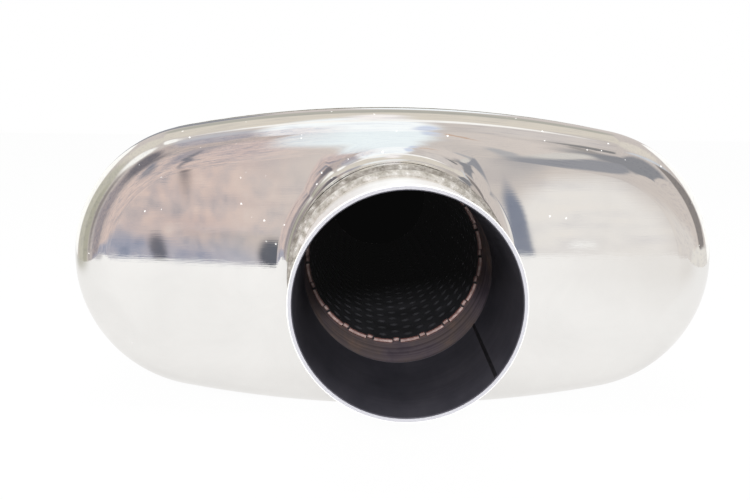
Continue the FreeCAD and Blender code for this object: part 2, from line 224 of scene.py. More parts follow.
def sheet_section():
    """The rolled sheet's cross-section, flat, open at the bottom where its edges meet."""
    # The skirt's wall and a slip fit lie outside the sheet; turns are counted from the bottom
    inset = 1.6 * MM
    edge, clear = (asin(half / (CROWN_RADIUS - inset)) for half in (SEAM_GAP / 2, 1.2 * MM))
    turns = sorted((angle + pi / 2) % (2 * pi) for angle in oval_angles(1.5 * MM))
    turns = [edge] + [turn for turn in turns if clear < turn < 2 * pi - clear] + [2 * pi - edge]
    spots = [oval_point(turn - pi / 2, inset + depth) for turn in turns for depth in (0, SHELL_WALL)]
    mesh = bpy.data.meshes.new("sheet_section")
    mesh.from_pydata([(x, SHELL_LOW[1], z + AXIS_HEIGHT) for x, z in spots], [],
        [(i, i + 1, i + 3, i + 2) for i in range(0, len(spots) - 2, 2)])
    return mesh


def drawn_section():
    """Geometry Nodes: stretch a flat cross-section along Y into a closed solid."""
    tree, add, given = node_tree("drawn_section", Float="Length", Material="Finish")
    reach = add("CombineXYZ", {"Y": given["Length"]})
    stretched = add("GeometryNodeExtrudeMesh", {"Mesh": given["Geometry"], "Offset": reach,
        "Offset Scale": 1.0, "Individual": False})
    base = add("GeometryNodeFlipFaces", {"Mesh": given["Geometry"]})
    joined = add("GeometryNodeJoinGeometry")
    tree.links.new(base.outputs["Mesh"], joined.inputs["Geometry"])
    tree.links.new(stretched.outputs["Mesh"], joined.inputs["Geometry"])
    merged = add("GeometryNodeMergeByDistance", {"Geometry": joined, "Distance": 0.01 * MM})
    return closed_tree(tree, given, merged)


case_shell = new_object("case_shell", sheet_section())
DRAWN = drawn_section()
apply_tree(case_shell, DRAWN, Length=SHELL_HIGH[1] - SHELL_LOW[1], Finish=POLISHED)
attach(case_shell, "root")
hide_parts("body_shell")

# End caps
# Each is pressed from one 1.5 mm sheet and mirror polished: a flat face, a wide rounded
# shoulder, a short skirt over the shell, and a collar drawn outwards for the neck.
CAP_WALL = 1.5 * MM
SHOULDER = 16.0 * MM
COLLAR_BEND = 10.0 * MM
COLLAR_HEIGHT = 24.0 * MM
COLLAR_OUTER = 36.6 * MM
# Left and right of the neck the bend tightens, over the first 8 mm of flat face
SIDE_BEND = 5.5 * MM
SIDE_EASE = 8 * MM
# Where the columns cross the flat face, with close lines at its two borders to keep it flat
FLAT_SHARES = (0.01, 0.14, 0.28, 0.42, 0.57, 0.72, 0.86, 0.99, 1.0)
# Steps along a column: down the collar, round its bend, round the shoulder, along the skirt
COLLAR_STEPS, BEND_STEPS, SHOULDER_STEPS, SKIRT_STEPS = 6, 14, 18, 4
CAP_COLUMNS = 480
RIM_SAMPLES = 400
CAP_FACE = abs(CAP_LOW[1]) - COLLAR_HEIGHT
CAP_RIM = abs(CAP_HIGH[1])


def oval_distance(x, z, inset):
    """Distance from the set-in oval, positive outside, with its outward direction and normal angle."""
    if abs(x) <= END_CENTRE / CROWN_SINK * (abs(z) + CROWN_SINK):
        centre, radius = (0.0, -copysign(CROWN_SINK, z)), CROWN_RADIUS - inset
    else:
        centre, radius = (copysign(END_CENTRE, x), 0.0), END_RADIUS - inset
    dx, dz = x - centre[0], z - centre[1]
    reach = hypot(dx, dz)
    return reach - radius, (dx / reach, dz / reach), atan2(dz, dx)


def cap_column(turn):
    """One column of the cap's outside, from the collar's lip to the foot of its bend, as
    (x, forward, z), with how far the bend reaches over the shoulder.

    Forward is counted from the cap's face towards the neck. A ball of the collar's bend
    rolls between the collar and whatever lies under it, face or shoulder.
    """
    x, z = cos(turn), sin(turn)
    ring = COLLAR_OUTER + COLLAR_BEND
    spare, _, _ = oval_distance(ring * x, ring * z, SHOULDER)
    bend = COLLAR_BEND + (SIDE_BEND - COLLAR_BEND) * min(1.0, max(0.0, -spare / SIDE_EASE))
    ring = COLLAR_OUTER + bend
    over, (out_x, out_z), _ = oval_distance(ring * x, ring * z, SHOULDER)
    over = max(over, 0.0)
    length = SHOULDER + bend
    rise = sqrt(length ** 2 - over ** 2) - SHOULDER
    drop = COLLAR_HEIGHT - rise
    points = [(COLLAR_OUTER * x, COLLAR_HEIGHT - drop * step / COLLAR_STEPS, COLLAR_OUTER * z)
        for step in range(COLLAR_STEPS)]
    ball = Vector((ring * x, rise, ring * z))
    to_wall = Vector((-x, 0.0, -z))
    to_foot = -Vector((out_x * over / length, (rise + SHOULDER) / length, out_z * over / length))
    for step in range(BEND_STEPS + 1):
        points.append(tuple(ball + bend * to_wall.slerp(to_foot, step / BEND_STEPS)))
    return points, over


def cap_outside():
    """Rows of the cap's outside, from the collar's lip to the rim, all round the axis."""
    columns = [cap_column(2 * pi * k / CAP_COLUMNS) for k in range(CAP_COLUMNS)]
    # Where each column meets the rim: straight out at the top and bottom, spread elsewhere
    rims = [oval_distance(points[-1][0], points[-1][2], SHOULDER)[2] if over > 0 else None
        for points, over in columns]
    fill_rims(rims)
    rows = []
    for (points, over), angle in zip(columns, rims):
        foot = Vector(points[-1])
        first = asin(over / (SHOULDER + COLLAR_BEND))
        line = list(points)
        if over <= 0:
            x, z = oval_point(angle, SHOULDER)
            for share in FLAT_SHARES:
                line.append((foot.x + (x - foot.x) * share, 0.0, foot.z + (z - foot.z) * share))
        else:
            line += [tuple(foot)] * len(FLAT_SHARES)
        for step in range(1, SHOULDER_STEPS + 1):
            bend = first + (pi / 2 - first) * step / SHOULDER_STEPS
            x, z = oval_point(angle, SHOULDER * (1 - sin(bend)))
            line.append((x, -SHOULDER * (1 - cos(bend)), z))
        x, z = oval_point(angle, 0.0)
        depth = CAP_FACE - CAP_RIM
        for step in range(1, SKIRT_STEPS + 1):
            line.append((x, -SHOULDER - (depth - SHOULDER) * step / SKIRT_STEPS, z))
        rows.append(line)
    return rows


def fill_rims(rims):
    """Give the columns between the crowns' ones rim angles that are even along the oval."""
    count = len(rims)
    known = [k for k in range(count) if rims[k] is not None]
    for a, b in zip(known, known[1:] + [known[0] + count]):
        if b - a < 2:
            continue
        first, last = rims[a % count], rims[b % count]
        while last < first:
            last += 2 * pi
        samples = [first + (last - first) * i / RIM_SAMPLES for i in range(RIM_SAMPLES + 1)]
        spots = [Vector(oval_point(angle, SHOULDER)) for angle in samples]
        reach = [0.0]
        for p, q in zip(spots, spots[1:]):
            reach.append(reach[-1] + (q - p).length)
        i = 0
        for k in range(a + 1, b):
            goal = reach[-1] * (k - a) / (b - a)
            while reach[i + 1] < goal:
                i += 1
            part = (goal - reach[i]) / (reach[i + 1] - reach[i])
            rims[k % count] = samples[i] + (samples[i + 1] - samples[i]) * part


CAP_ROWS = cap_outside()


def make_cap(name, node, side):
    """One pressed cap; side is -1 at the inlet and 1 at the outlet, turned about Z."""
    mesh = bpy.data.meshes.new(name)
    build = bmesh.new()
    grid = [[build.verts.new((-side * x, side * (CAP_FACE + forward), z + AXIS_HEIGHT))
        for x, forward, z in line] for line in CAP_ROWS]
    for here, there in zip(grid, grid[1:] + grid[:1]):
        for a, b, c, d in zip(here, here[1:], there[1:], there):
            build.faces.new((a, b, c, d))
    bmesh.ops.remove_doubles(build, verts=build.verts, dist=0.001 * MM)
    bmesh.ops.recalc_face_normals(build, faces=build.faces)
    flat = max(build.faces, key=lambda face: abs(face.normal.y) * face.calc_area())
    if flat.normal.y * side < 0:
        bmesh.ops.reverse_faces(build, faces=build.faces)
    build.to_mesh(mesh)
    build.free()
    mesh.materials.append(POLISHED)
    cap = new_object(name, mesh)
    wall = cap.modifiers.new("sheet", "SOLIDIFY")
    wall.thickness = CAP_WALL
    wall.offset = -1
    wall.use_even_offset = True
    settle(cap)
    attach(cap, "root")
    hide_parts(node)


for name, node, side in (("inlet_cap", "front_end_cap", -1), ("outlet_cap", "rear_end_cap", 1)):
    make_cap(name, node, side)

# Necks and sleeves
# Cut lengths of drawn stainless tube. A neck slips over the exhaust pipe; the sleeve
# inside it carries it on the cap's collar. Outside they are bright, inside the gas has
# left a dark scale, and the sleeve's bore keeps the straw and purple of the welding heat.
NECK_MID = 32.6 * MM
SLEEVE_MID = 34.2 * MM


def radius_from_axis(add, place):
    """Distance of a point from the pipe axis."""
    centred = add("Mapping", {"Vector": place, "Location": (0.0, 0.0, -AXIS_HEIGHT),
        "Scale": (1.0, 0.0, 1.0)})
    return add("VectorMath", {0: centred}, "LENGTH")


def end_faces(add):
    """1 on faces that look along the pipe axis, as a cut end does, and 0 elsewhere."""
    facing = add("SeparateXYZ", {"Vector": add("NewGeometry").outputs["Normal"]})
    along = add("Math", {0: facing.outputs["Y"]}, "ABSOLUTE")
    return add("MapRange", {"Value": along, "From Min": 0.75, "From Max": 0.90})


def tube_stainless(name, mid, ends, scale_stops, ring_depth, bore_metallic, bore_roughness):
    """Drawn stainless tube: satin outside, with rings of heat colour towards its weld, matt
    scale in the bore, a painted highlight on the bore's inner edge, and ground end faces. Its inner end
    and its weld are at `ends`."""
    material, add, place = new_material(name)
    inner_end, weld = ends
    radius = radius_from_axis(add, place)
    inside = add("MapRange", {"Value": radius, "From Min": mid - 0.25 * MM,
        "From Max": mid - 0.45 * MM})
    spot = add("SeparateXYZ", {0: place})
    station = add("Math", {0: spot.outputs["Y"]}, "ABSOLUTE")
    # Turning marks 0.4 mm apart along the tube
    marks = add("Mapping", {"Vector": place, "Scale": (30.0, 2500.0, 30.0)})
    fine = add("TexNoise", {"Vector": marks, "Scale": 1.0, "Detail": 3.0})
    # Heat colours run round the tube in rings 2 mm apart, fading out 16 mm from the weld
    round_it = add("Mapping", {"Vector": place, "Scale": (14.0, 480.0, 14.0)})
    rings = add("TexNoise", {"Vector": round_it, "Scale": 1.0, "Detail": 4.0})
    heated = add("ValToRGB", {0: rings}, stops=[(0.34, "#80756a"), (0.48, "#b9ae9e"),
        (0.62, "#e3dfd6")])
    warmth = add("MapRange", {"Value": station, "From Min": weld + 18 * MM, "From Max": weld + 4 * MM,
        "To Max": 0.75})
    satin = add("ValToRGB", {0: fine}, stops=[(0.3, "#efeeec"), (0.7, "#ffffff")])
    outside = add("Mix", {"Factor": warmth, 6: satin, 7: heated}, data_type="RGBA")
    # Scale and soot lie in patches some 20 mm across, drawn out along the gas flow
    flow = add("Mapping", {"Vector": place, "Scale": (60.0, 25.0, 60.0)})
    patch = add("TexNoise", {"Vector": flow, "Scale": 1.0, "Detail": 7.0, "Roughness": 0.65})
    ringed = add("ValToRGB", {0: rings}, stops=[(0.36, "#9c979d"), (0.50, "#e6e4e6"),
        (0.64, "#ffffff")])
    scaled = add("Mix", {"Factor": ring_depth, 6: add("ValToRGB", {0: patch}, stops=scale_stops),
        7: ringed}, data_type="RGBA", blend_type="MULTIPLY")
    # A paler line 0.5 mm wide at the bore's inner edge is a painted highlight, where the edge catches
    # the light
    painted_edge_highlight = add("MapRange", {"Value": station, "From Min": inner_end + 0.6 * MM,
        "From Max": inner_end + 0.2 * MM, "To Max": 0.6})
    bore = add("Mix", {"Factor": painted_edge_highlight, 6: scaled, 7: linear("#a39da6")}, data_type="RGBA")
    skin = add("Mix", {"Factor": inside, 6: outside, 7: bore}, data_type="RGBA")
    cut = end_faces(add)
    colour = add("Mix", {"Factor": cut, 6: skin, 7: linear("#b0b0b6")}, data_type="RGBA")
    matt = add("Math", {0: inside, 1: cut}, "MAXIMUM")
    rough = add("Mix", {"Factor": matt, 2: 0.30, 3: bore_roughness})
    metallic = add("Mix", {"Factor": matt, 2: 0.40, 3: bore_metallic})
    bump = add("Bump", {"Height": fine, "Strength": 0.05, "Distance": 0.0002})
    return surfaced(material, add("BsdfPrincipled", {"Base Color": colour, "Metallic": metallic,
        "Roughness": rough, "Normal": bump}))


NECK_TUBE = tube_stainless("drawn_tube_sooted", NECK_MID, (190.0 * MM, 207.0 * MM),
    [(0.30, "#3d3d45"), (0.55, "#4b4a52"), (0.80, "#5b5960")], 0.2, 0.30, 0.50)
SLEEVE_TUBE = tube_stainless("drawn_tube_heat_tinted", SLEEVE_MID, (142.0 * MM, 202.0 * MM),
    [(0.30, "#665d68"), (0.44, "#7d7279"), (0.56, "#857876"), (0.70, "#a58b7c")], 0.6, 0.05, 0.85)
for end in ("inlet", "outlet"):
    for piece, finish in ((end + "_neck", NECK_TUBE), (end + "_sleeve", SLEEVE_TUBE)):
        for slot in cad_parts[piece].material_slots:
            slot.material = finish

# Neck seams
# Each neck is rolled from strip and welded along its length; inside, the seam stands as
# a low dark ridge, to the lower right of the bore.
SEAM_TURN = radians(-38.6)
SEAM_HALF = radians(1.1)
SEAM_RISE = 0.18 * MM
SEAM_WANDER = radians(3.6)


def seam_section(radius, turn, station):
    """The ridge's flat cross-section: the bore's arc below, a lower arc above."""
    steps = 8
    mesh = bpy.data.meshes.new("seam_section")
    outline = []
    for i in range(steps + 1):
        angle = turn - SEAM_HALF + 2 * SEAM_HALF * i / steps
        outline.append((radius + 0.05 * MM, angle))
    for i in range(steps + 1):
        angle = turn + SEAM_HALF - 2 * SEAM_HALF * i / steps
        outline.append((radius - SEAM_RISE * sin(pi * i / steps), angle))
    corners = [(reach * cos(angle), station, AXIS_HEIGHT + reach * sin(angle))
        for reach, angle in reversed(outline)]
    mesh.from_pydata(corners, [], [tuple(range(len(corners)))])
    return mesh


def seam_scale():
    """The seam's ridge, black with scale and a little rougher than the bore."""
    material, add, place = new_material("scaled_seam")
    grain = add("TexNoise", {"Vector": place, "Scale": 900.0, "Detail": 4.0})
    colour = add("ValToRGB", {0: grain}, stops=[(0.3, "#1a1a1d"), (0.7, "#2e2d31")])
    return surfaced(material, add("BsdfPrincipled", {"Base Color": colour, "Metallic": 0.3,
        "Roughness": 0.6}))


SEAM_FINISH = seam_scale()
NECK_BORE = 31.9 * MM
for end, side in (("inlet", -1), ("outlet", 1)):
    low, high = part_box(end + "_neck")
    turn = SEAM_TURN if side < 0 else pi - SEAM_TURN
    seam = new_object(end + "_neck_seam", seam_section(NECK_BORE, turn, low[1] + 0.4 * MM))
    apply_tree(seam, DRAWN, Length=high[1] - low[1] - 0.8 * MM, Finish=SEAM_FINISH)
    # The strip was rolled a little askew, so the seam wanders as it runs inwards
    mouth = low[1] if side < 0 else high[1]
    for vertex in seam.data.vertices:
        inward = abs(vertex.co.y - mouth) / (high[1] - low[1])
        askew = Matrix.Rotation(side * SEAM_WANDER * inward, 3, "Y")
        axis_point = Vector((0.0, vertex.co.y, AXIS_HEIGHT))
        vertex.co = axis_point + askew @ (vertex.co - axis_point)
    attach(seam, "root")

# Weld beads
# Laid by hand round each joint: one small puddle after another, each lapping the last.
# The CAD ring stays as the bead's root and the puddles are its crown. The metal is grey
# stainless, with the straw and brown of the heat in its valleys.
PUDDLE_SIDES = 12
PUDDLE_RINGS = 6
# How far the puddles' path lies inside the bead, as a share of the bead's leg
PATH_SHARE = 0.62


def weld_metal(name, stops, roughness):
    """Weld metal: dull crowns, straw to brown where the last pass heated the scale."""
    material, add, place = new_material(name)
    heat = add("TexNoise", {"Vector": place, "Scale": 420.0, "Detail": 5.0, "Roughness": 0.65})
    colour = add("ValToRGB", {0: heat}, stops=stops)
    # Grit of the frozen puddle, 0.5 mm
    grit = add("TexNoise", {"Vector": place, "Scale": 2000.0, "Detail": 2.0})
    bump = add("Bump", {"Height": grit, "Strength": 0.25, "Distance": 0.0002})
    return surfaced(material, add("BsdfPrincipled", {"Base Color": colour, "Metallic": 0.5,
        "Roughness": roughness, "Normal": bump}))


WELD = weld_metal("stainless_weld_metal", [(0.30, "#8b867d"), (0.45, "#b1ada5"), (0.60, "#cdcac5"),
    (0.72, "#f6f5f4")], 0.35)
LIP_WELD = weld_metal("tinted_weld_metal", [(0.30, "#6f6a61"), (0.48, "#96918a"), (0.60, "#aeaaa3"),
    (0.74, "#e4e2df")], 0.35)
# The rim weld's dark olive is heat tint with painted shade: the bead's face, turned from the light, is
# painted darker than the other welds
RIM_WELD_TINT_AND_SHADE = weld_metal("heat_darkened_weld_metal", [(0.30, "#6c6b5f"), (0.50, "#88877a"),
    (0.72, "#a8a79d")], 0.45)


def laid_puddles():
    """Geometry Nodes: lay lapping puddles along a path, leaning out from what they join."""
    tree, add, given = node_tree("laid_puddles", Float="Step Lean Length Width Height Tilt",
        Vector="Across", Int="Seed", Material="Finish")
    path = add("GeometryNodeMeshToCurve", {"Mesh": given["Geometry"]})
    even = add("GeometryNodeResampleCurve", {"Curve": path, "Length": given["Step"]}, mode="LENGTH")
    tangent = add("GeometryNodeInputTangent")
    level = add("VectorMath", {0: tangent, 1: given["Across"]}, "CROSS_PRODUCT")
    lean = add("VectorMath", {0: given["Across"], "Scale": given["Lean"]}, "SCALE")
    away = add("VectorMath", {0: level, 1: lean}, "ADD")
    facing = add("FunctionNodeAlignRotationToVector", {"Vector": tangent}, axis="X")
    upright = add("FunctionNodeAlignRotationToVector", {"Rotation": facing, "Vector": away}, axis="Z",
        pivot_axis="X")
    wobble = add("FunctionNodeRandomValue", {2: -0.12, 3: 0.12, "Seed": given["Seed"]})
    slope = add("Math", {0: given["Tilt"], 1: wobble}, "ADD")
    tilt = add("CombineXYZ", {"Y": slope})
    tilt_rotation = add("FunctionNodeEulerToRotation", {"Euler": tilt})
    posed = add("FunctionNodeRotateRotation", {"Rotation": upright, "Rotate By": tilt_rotation},
        rotation_space="LOCAL")
    ball = add("GeometryNodeMeshUVSphere", {"Segments": PUDDLE_SIDES, "Rings": PUDDLE_RINGS,
        "Radius": 0.5})
    form = add("CombineXYZ", {"X": given["Length"], "Y": given["Width"], "Z": given["Height"]})
    puddle = add("GeometryNodeTransform", {"Geometry": ball, "Scale": form})
    grow = add("FunctionNodeRandomValue", {2: 0.88, 3: 1.10, "Seed": given["Seed"]})
    laid = add("GeometryNodeInstanceOnPoints", {"Points": even, "Instance": puddle, "Rotation": posed,
        "Scale": grow})
    return closed_tree(tree, given, laid)


PUDDLES = laid_puddles()


def path_mesh(name, points, closed=True):
    """A bare wire of points, for a tree to follow."""
    mesh = bpy.data.meshes.new(name)
    links = [(i, i + 1) for i in range(len(points) - 1)]
    if closed:
        links.append((len(points) - 1, 0))
    mesh.from_pydata(points, links, [])
    return mesh


def ring_path(name, radius, station):
    """A wire circle about the pipe axis."""
    turns = [radians(degrees) for degrees in range(360)]
    return path_mesh(name, [(radius * cos(turn), station, AXIS_HEIGHT + radius * sin(turn))
        for turn in turns])


def lay_bead(node, wire, finish=WELD, across=(0.0, 1.0, 0.0), **sizes):
    """Lay puddles along a wire on top of a CAD bead; across runs level over what it joins.

    The wire's name, with puddles for path, is the piece's.
    """
    piece = new_object(wire.name.replace("_path", "_puddles"), wire)
    apply_tree(piece, PUDDLES, Finish=finish, Across=across, **sizes)
    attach(piece, "root")
    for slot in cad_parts[node].material_slots:
        slot.material = finish


for end, side, seed in (("inlet", -1, 11), ("outlet", 1, 12)):
    for joint in ("neck", "collar"):
        node = "%s_%s_weld" % (end, joint)
        low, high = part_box(node)
        leg = high[1] - low[1]
        outer = (high[0] - low[0]) / 2
        station = (low[1] if side < 0 else high[1]) - side * leg * PATH_SHARE
        wire = ring_path(node + "_path", outer - leg * PATH_SHARE, station)
        lay_bead(node, wire, finish=WELD if joint == "neck" else LIP_WELD, Step=0.95 * MM,
            Length=2.6 * MM, Width=leg * 1.05, Height=leg * 0.72, Lean=float(side), Tilt=0.30,
            Seed=seed)

for node, side in (("front_rim_weld", -1), ("rear_rim_weld", 1)):
    station = side * (CAP_RIM - 1.1 * MM)
    rim = [oval_point(angle, 0.2 * MM) for angle in oval_angles(1.0 * MM)]
    points = [(x, station, z + AXIS_HEIGHT) for x, z in rim]
    lay_bead(node, path_mesh(node + "_path", points), finish=RIM_WELD_TINT_AND_SHADE, Step=1.0 * MM, Length=4.2 * MM,
        Width=2.2 * MM, Height=1.05 * MM, Lean=0.0, Tilt=0.05, Seed=21)
low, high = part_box("shell_seam_weld")
points = [(0.0, side * (CAP_RIM - 4 * MM), low[2] + 0.45 * MM) for side in (-1, 1)]
lay_bead("shell_seam_weld", path_mesh("shell_seam_path", points, closed=False), across=(1.0, 0.0, 0.0),
    Step=1.4 * MM, Length=2.4 * MM, Width=2.6 * MM, Height=0.9 * MM, Lean=0.0, Tilt=0.30, Seed=31)

# Perforated core
# A straight tube rolled from punched stainless sheet: 3.5 mm holes in staggered rows,
# cut off through a row at each end. The gas has blackened it, and the sawn ends, heated
# when the core was welded in, have turned coppery.
CORE_LOW, CORE_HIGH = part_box("perforated_core")
CORE_OUTER = 33.4 * MM
CORE_WALL = 1.5 * MM
HOLE_RADIUS = 1.75 * MM
FIRST_ROW = 0.8 * MM
HOLES_ROUND = 20
ROW_STEP = 5.6 * MM
HOLE_SIDES = 16
HOLE_PHASE = radians(6.4)


def punched_cell(width, depth):
    """One cell of the sheet with its hole, flat in XY, as thick as the wall in Z."""
    half = HOLE_SIDES // 4
    edge = []
    for x, y, dx, dy in ((-1, -1, 2, 0), (1, -1, 0, 2), (1, 1, -2, 0), (-1, 1, 0, -2)):
        edge += [((x + dx * i / half) * width / 2, (y + dy * i / half) * depth / 2)
            for i in range(half)]
    angles = [radians(-135 + 360 * i / HOLE_SIDES) for i in range(HOLE_SIDES)]
    hole = [(HOLE_RADIUS * cos(angle), HOLE_RADIUS * sin(angle)) for angle in angles]
    rings = [(edge, 0.0), (hole, 0.0), (hole, CORE_WALL), (edge, CORE_WALL)]
    verts = [(x, y, z) for ring, z in rings for x, y in ring]
    faces = []
    for r in range(3):
        for i in range(HOLE_SIDES):
            j = (i + 1) % HOLE_SIDES
            faces.append((r * HOLE_SIDES + j, r * HOLE_SIDES + i, (r + 1) * HOLE_SIDES + i,
                (r + 1) * HOLE_SIDES + j))
    mesh = bpy.data.meshes.new("punched_cell")
    mesh.from_pydata(verts, [], faces)
    return mesh


def rolled_sheet():
    """Geometry Nodes: set punched cells in staggered rows and roll them into a tube on the pipe axis."""
    tree, add, given = node_tree("rolled_sheet", Int="Holes Rows", Float="Cell Pitch Bore Height Phase",
        Material="Finish")
    spans = []
    for count, step in (("Holes", "Cell"), ("Rows", "Pitch")):
        gaps = add("Math", {0: given[count], 1: 1.0}, "SUBTRACT")
        spans.append(add("Math", {0: given[step], 1: gaps}, "MULTIPLY"))
    grid = add("GeometryNodeMeshGrid", {"Size X": spans[0], "Size Y": spans[1],
        "Vertices X": given["Holes"], "Vertices Y": given["Rows"]})
    # Every other row is shifted by half a cell
    spot = add("SeparateXYZ", {0: add("GeometryNodeInputPosition")})
    ahead = add("Math", {0: spans[1], 1: 0.5, 2: spot.outputs["Y"]}, "MULTIPLY_ADD")
    row = add("Math", {0: ahead, 1: given["Pitch"]}, "DIVIDE")
    odd = add("Math", {0: add("Math", {0: row}, "ROUND"), 1: 2.0}, "MODULO")
    half = add("Math", {0: given["Cell"], 1: 0.5}, "MULTIPLY")
    shift = add("CombineXYZ", {"X": add("Math", {0: odd, 1: half}, "MULTIPLY")})
    staggered = add("GeometryNodeSetPosition", {"Geometry": grid, "Offset": shift})
    cells = add("GeometryNodeInstanceOnPoints", {"Points": staggered, "Instance": given["Geometry"]})
    sheet = add("GeometryNodeRealizeInstances", {"Geometry": cells})
    # The sheet's width becomes the turn, and its thickness the distance from the axis
    flat = add("SeparateXYZ", {0: add("GeometryNodeInputPosition")})
    girth = add("Math", {0: given["Cell"], 1: given["Holes"]}, "MULTIPLY")
    width = add("Math", {0: flat.outputs["X"], 1: 2 * pi}, "MULTIPLY")
    share = add("Math", {0: width, 1: girth}, "DIVIDE")
    turn = add("Math", {0: given["Phase"], 1: share}, "ADD")
    radius = add("Math", {0: given["Bore"], 1: flat.outputs["Z"]}, "ADD")
    sine, cosine = (add("Math", {0: turn}, name) for name in ("SINE", "COSINE"))
    rolled = add("CombineXYZ", {"X": add("Math", {0: radius, 1: sine}, "MULTIPLY"),
        "Y": flat.outputs["Y"], "Z": add("Math", {0: radius, 1: cosine, 2: given["Height"]},
        "MULTIPLY_ADD")})
    tube = add("GeometryNodeSetPosition", {"Geometry": sheet, "Position": rolled})
    merged = add("GeometryNodeMergeByDistance", {"Geometry": tube, "Distance": 0.02 * MM})
    return closed_tree(tree, given, merged)


def sooted_core():
    """Stainless sheet blackened by the gas, with coppery sawn ends, dark along their edges.

    A trace of its own light stands for the flare that lifts the blacks of the photograph.
    """
    material, add, place = new_material("perforated_sheet_sooted")
    soot = add("TexNoise", {"Vector": place, "Scale": 90.0, "Detail": 7.0, "Roughness": 0.65})
    black = add("ValToRGB", {0: soot}, stops=[(0.30, "#2a2a2d"), (0.55, "#36363a"), (0.80, "#46454a")])
    burr = add("TexNoise", {"Vector": place, "Scale": 450.0, "Detail": 4.0})
    copper = add("ValToRGB", {0: burr}, stops=[(0.30, "#8d7672"), (0.50, "#b79f9a"), (0.72, "#d8c6c1")])
    spot = add("SeparateXYZ", {0: place})
    reach = add("Math", {0: spot.outputs["Y"]}, "ABSOLUTE")
    # The saw cut and the far walls of the holes it went through, 2.6 mm deep
    near_end = add("MapRange", {"Value": reach, "From Min": CORE_HIGH[1] - 3.0 * MM,
        "From Max": CORE_HIGH[1] - 2.6 * MM})
    radius = radius_from_axis(add, place)
    inner = add("MapRange", {"Value": radius, "From Min": CORE_OUTER - CORE_WALL + 0.25 * MM,
        "From Max": CORE_OUTER - CORE_WALL + 0.55 * MM})
    outer = add("MapRange", {"Value": radius, "From Min": CORE_OUTER - 0.15 * MM,
        "From Max": CORE_OUTER - 0.40 * MM})
    sawn = add("Math", {0: end_faces(add), 1: near_end}, "MULTIPLY")
    bared = add("Math", {0: inner, 1: outer}, "MULTIPLY")
    crest = add("Mix", {"Factor": bared, 6: linear("#6b4844"), 7: copper}, data_type="RGBA")
    colour = add("Mix", {"Factor": sawn, 6: black, 7: crest}, data_type="RGBA")
    return surfaced(material, add("BsdfPrincipled", {"Base Color": colour, "Metallic": 0.25,
        "Roughness": 0.5, "Emission Color": linear("#090909"), "Emission Strength": 1.0}))


rows = round((CORE_HIGH[1] - CORE_LOW[1] - 2 * FIRST_ROW) / ROW_STEP)
row_step = (CORE_HIGH[1] - CORE_LOW[1] - 2 * FIRST_ROW) / rows
cell_width = 2 * pi * (CORE_OUTER - CORE_WALL) / HOLES_ROUND
punched_core = new_object("punched_core", punched_cell(cell_width, row_step))
apply_tree(punched_core, rolled_sheet(), Rows=rows + 1, Bore=CORE_OUTER - CORE_WALL, Height=AXIS_HEIGHT,
    Phase=HOLE_PHASE, Finish=sooted_core(), Holes=HOLES_ROUND, Cell=cell_width, Pitch=row_step)
build = bmesh.new()
build.from_mesh(punched_core.data)
bmesh.ops.remove_doubles(build, verts=build.verts, dist=0.02 * MM)
for station, way in ((CORE_LOW[1], -1), (CORE_HIGH[1], 1)):
    bmesh.ops.bisect_plane(build, geom=build.verts[:] + build.edges[:] + build.faces[:],
        plane_co=(0.0, station, 0.0), plane_no=(0.0, way, 0.0), clear_outer=True)
bmesh.ops.holes_fill(build, edges=[edge for edge in build.edges if edge.is_boundary], sides=0)
bmesh.ops.recalc_face_normals(build, faces=build.faces)
build.to_mesh(punched_core.data)
build.free()
punched_core.data.set_sharp_from_angle(angle=KEEN_ANGLE)
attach(punched_core, "root")
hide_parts("perforated_core")

# Core weld
# The bead that holds the core at the inlet sleeve; its other end is left free to slide.
low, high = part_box("core_weld")
leg = high[1] - low[1]
wire = ring_path("core_weld_path", (high[0] - low[0]) / 2 - leg * PATH_SHARE,
    low[1] + leg * (1 - PATH_SHARE))
lay_bead("core_weld", wire, Step=1.15 * MM, Length=2.0 * MM, Width=leg * 1.3, Height=leg * 0.7,
    Lean=1.0, Tilt=0.42, Seed=41)

# Steel wool wrap
# Fine stainless wire wool wound round the core, so that the gas can't blow the glass
# fibre out through the holes. It is springy, matted and still bright where it is packed.
WOOL_LOW, WOOL_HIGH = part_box("steel_wool_wrap")
WOOL_BORE = 33.5 * MM
WOOL_OUTER = (WOOL_HIGH[0] - WOOL_LOW[0]) / 2
STRAND_RADIUS = 0.14 * MM
STRANDS = 330
TUBE_COLUMNS = 160


def wire_wool():
    """Matted stainless wire, with painted highlights on its crests and painted shade in its depth."""
    material, add, place = new_material("stainless_wire_wool")
    # Wires 0.4 mm apart, wound round the axis
    wound = add("Mapping", {"Vector": place, "Scale": (180.0, 2400.0, 180.0)})
    wires = add("TexNoise", {"Vector": wound, "Scale": 1.0, "Detail": 5.0, "Distortion": 1.5})
    # The colour follows the same noise as the bump: painted highlights on the wires' crests, painted
    # shade between them
    colour = add("ValToRGB", {0: wires}, stops=[(0.30, "#6a6a69"), (0.50, "#b5b4b1"),
        (0.70, "#e8e7e4")])
    bump = add("Bump", {"Height": wires, "Strength": 0.7, "Distance": 0.0005})
    return surfaced(material, add("BsdfPrincipled", {"Base Color": colour, "Metallic": 0.3,
        "Roughness": 0.5, "Normal": bump}))


